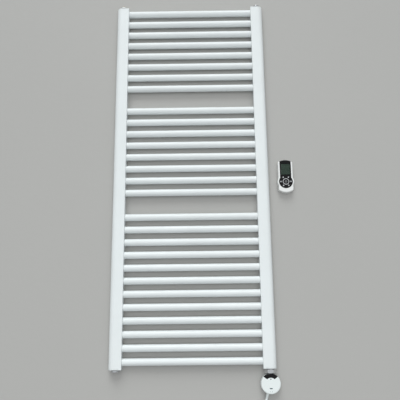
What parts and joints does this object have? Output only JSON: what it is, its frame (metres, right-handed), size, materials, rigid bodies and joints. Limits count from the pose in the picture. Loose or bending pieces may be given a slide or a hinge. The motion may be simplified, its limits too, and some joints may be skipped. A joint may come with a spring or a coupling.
{
  "type": "heated towel rail",
  "caption": "White electric ladder towel rail lying on its back, with round tubes in three groups, a round infrared control head, a mains cord and its hand remote.",
  "frame": {"origin": "on the back plane, midway between the two collectors and midway between the rail's top and bottom ends", "axes": "+X to the right seen from the front, +Y along the collectors towards the top end, +Z out of the front; lying on its back, the floor is z = 0"},
  "size_m": [0.5811, 1.4185, 0.0378],
  "materials": {
    "white_enamel": "gloss",
    "washer_rubber": "matte",
    "chrome": "polished",
    "brass": "satin",
    "steel": "brushed",
    "dark_steel": "satin",
    "white_plastic": "gloss",
    "dark_window": "polished",
    "grey_key": "satin",
    "component_plastic": "matte",
    "circuit_board": "satin",
    "white_cord": "satin",
    "tie_plastic": "matte",
    "remote_white": "gloss",
    "remote_black": "gloss",
    "display_glass": "polished",
    "display_panel": "matte",
    "silver_print": "satin",
    "battery_wrap": "satin"
  },
  "bodies": {
    "rail": {"collector_left": "white_enamel", "collector_right": "white_enamel", "end_plates_left": "white_enamel", "end_plates_right": "white_enamel", "tubes_upper": "white_enamel", "tubes_middle": "white_enamel", "tubes_lower": "white_enamel", "port_washers": "washer_rubber", "blanking_plugs": "chrome", "vent_body": "chrome", "element_nut": "chrome", "heating_rod": "steel", "temperature_probe": "steel", "head_back_shell": "white_plastic", "head_front_cover": "white_plastic", "head_seal": "washer_rubber", "receiver_window": "dark_window", "status_lens": "dark_window", "power_switch": "component_plastic", "control_board": "circuit_board", "power_relay": "component_plastic", "infrared_receiver": "component_plastic", "terminal_block": "white_plastic", "head_screws": "steel", "lock_screw": "dark_steel", "cord_guard": "white_cord", "cord_lead": "white_cord", "cord_coil": "white_cord", "cord_tail": "white_cord", "cord_tie": "tie_plastic", "plug_guard": "white_cord", "plug_body": "white_cord", "plug_pins": "steel", "plug_earth_clips": "steel"},
    "vent_spout": {"vent_spout": "white_plastic"},
    "vent_screw": {"vent_screw": "brass"},
    "power_key": {"power_key": "grey_key"},
    "remote": {"remote_back_shell": "remote_white", "remote_front_shell": "remote_white", "remote_face": "remote_black", "remote_emitter_window": "dark_window", "remote_display_glass": "display_glass", "remote_display": "display_panel", "remote_ring": "silver_print", "remote_keypad_mat": "washer_rubber", "remote_board": "circuit_board", "remote_batteries": "battery_wrap", "remote_battery_contacts": "steel"},
    "remote_battery_cover": {"remote_battery_cover": "remote_white"},
    "remote_key_center": {"remote_key_center": "remote_black"},
    "remote_key_upper_left": {"remote_key_upper_left": "silver_print"},
    "remote_key_upper_right": {"remote_key_upper_right": "silver_print"},
    "remote_key_left": {"remote_key_left": "silver_print"},
    "remote_key_right": {"remote_key_right": "silver_print"},
    "remote_key_lower_left": {"remote_key_lower_left": "silver_print"},
    "remote_key_lower_right": {"remote_key_lower_right": "silver_print"}
  },
  "joints": [
    {"name": "vent_spout_turn", "type": "hinge", "parent": "rail", "child": "vent_spout", "pos_m": [-0.23, 0.6, 0.015], "axis": [0, 1, 0], "continuous": true},
    {"name": "vent_screw_turn", "type": "hinge", "parent": "rail", "child": "vent_screw", "pos_m": [-0.23, 0.6, 0.015], "axis": [0, 1, 0], "range_deg": [0, 360]},
    {"name": "power_key_press", "type": "slide", "parent": "rail", "child": "power_key", "axis": [0, 0, -1], "range_m": [0, 0.0006], "stiffness_N_per_m": 1500, "springref_m": -0.0002},
    {"name": "remote_lift_off", "type": "slide", "parent": "rail", "child": "remote", "axis": [0, 0, 1], "range_m": [0, 0.3]},
    {"name": "battery_cover_slide", "type": "slide", "parent": "remote", "child": "remote_battery_cover", "axis": [0, -1, 0], "range_m": [0, 0.07]},
    {"name": "center_key_press", "type": "slide", "parent": "remote", "child": "remote_key_center", "axis": [0, 0, -1], "range_m": [0, 0.0008], "stiffness_N_per_m": 800, "springref_m": -0.0002},
    {"name": "upper_left_key_press", "type": "slide", "parent": "remote", "child": "remote_key_upper_left", "axis": [0, 0, -1], "range_m": [0, 0.0008], "stiffness_N_per_m": 800, "springref_m": -0.0002},
    {"name": "upper_right_key_press", "type": "slide", "parent": "remote", "child": "remote_key_upper_right", "axis": [0, 0, -1], "range_m": [0, 0.0008], "stiffness_N_per_m": 800, "springref_m": -0.0002},
    {"name": "left_key_press", "type": "slide", "parent": "remote", "child": "remote_key_left", "axis": [0, 0, -1], "range_m": [0, 0.0008], "stiffness_N_per_m": 800, "springref_m": -0.0002},
    {"name": "right_key_press", "type": "slide", "parent": "remote", "child": "remote_key_right", "axis": [0, 0, -1], "range_m": [0, 0.0008], "stiffness_N_per_m": 800, "springref_m": -0.0002},
    {"name": "lower_left_key_press", "type": "slide", "parent": "remote", "child": "remote_key_lower_left", "axis": [0, 0, -1], "range_m": [0, 0.0008], "stiffness_N_per_m": 800, "springref_m": -0.0002},
    {"name": "lower_right_key_press", "type": "slide", "parent": "remote", "child": "remote_key_lower_right", "axis": [0, 0, -1], "range_m": [0, 0.0008], "stiffness_N_per_m": 800, "springref_m": -0.0002}
  ]
}
